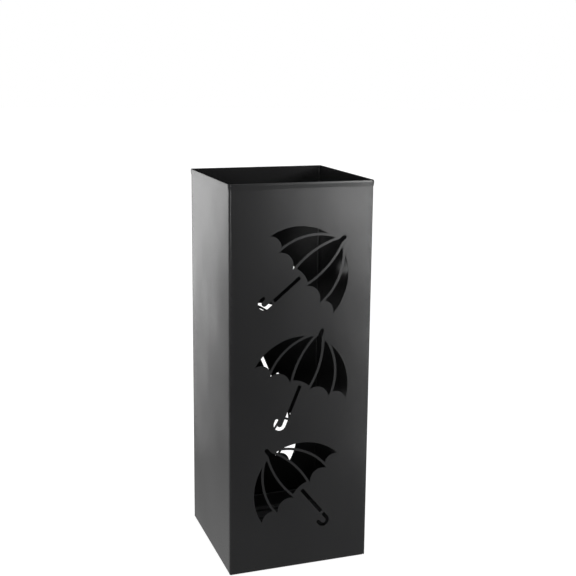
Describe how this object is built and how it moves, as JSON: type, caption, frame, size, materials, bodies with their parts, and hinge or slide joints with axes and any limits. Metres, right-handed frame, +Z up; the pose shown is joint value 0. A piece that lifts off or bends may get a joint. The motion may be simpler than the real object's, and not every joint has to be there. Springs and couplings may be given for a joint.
{
  "type": "umbrella stand",
  "caption": "Tall square sheet-steel umbrella stand with umbrella-shaped cut-outs front and back, a hemmed rim and a lift-out drip tray.",
  "frame": {"origin": "on the floor, under the middle of the stand", "axes": "+Z up; -Y is the front panel's outward direction; +X to the right when facing the front"},
  "size_m": [0.182, 0.182, 0.484],
  "materials": {
    "black_powder_coat": "satin black powder coat on steel sheet",
    "tray_plastic": "moulded black polypropylene, fine matt grain",
    "foot_rubber": "black rubber pad"
  },
  "bodies": {
    "stand": {"front_panel": "black_powder_coat", "back_panel": "black_powder_coat", "left_panel": "black_powder_coat", "right_panel": "black_powder_coat", "bottom_plate": "black_powder_coat", "front_left_foot": "foot_rubber", "front_right_foot": "foot_rubber", "rear_left_foot": "foot_rubber", "rear_right_foot": "foot_rubber"},
    "tray": {"drip_tray": "tray_plastic"}
  },
  "joints": [
    {"name": "drip_tray_lift", "type": "slide", "parent": "stand", "child": "tray", "axis": [0, 0, 1], "range_m": [0, 0.5]}
  ]
}
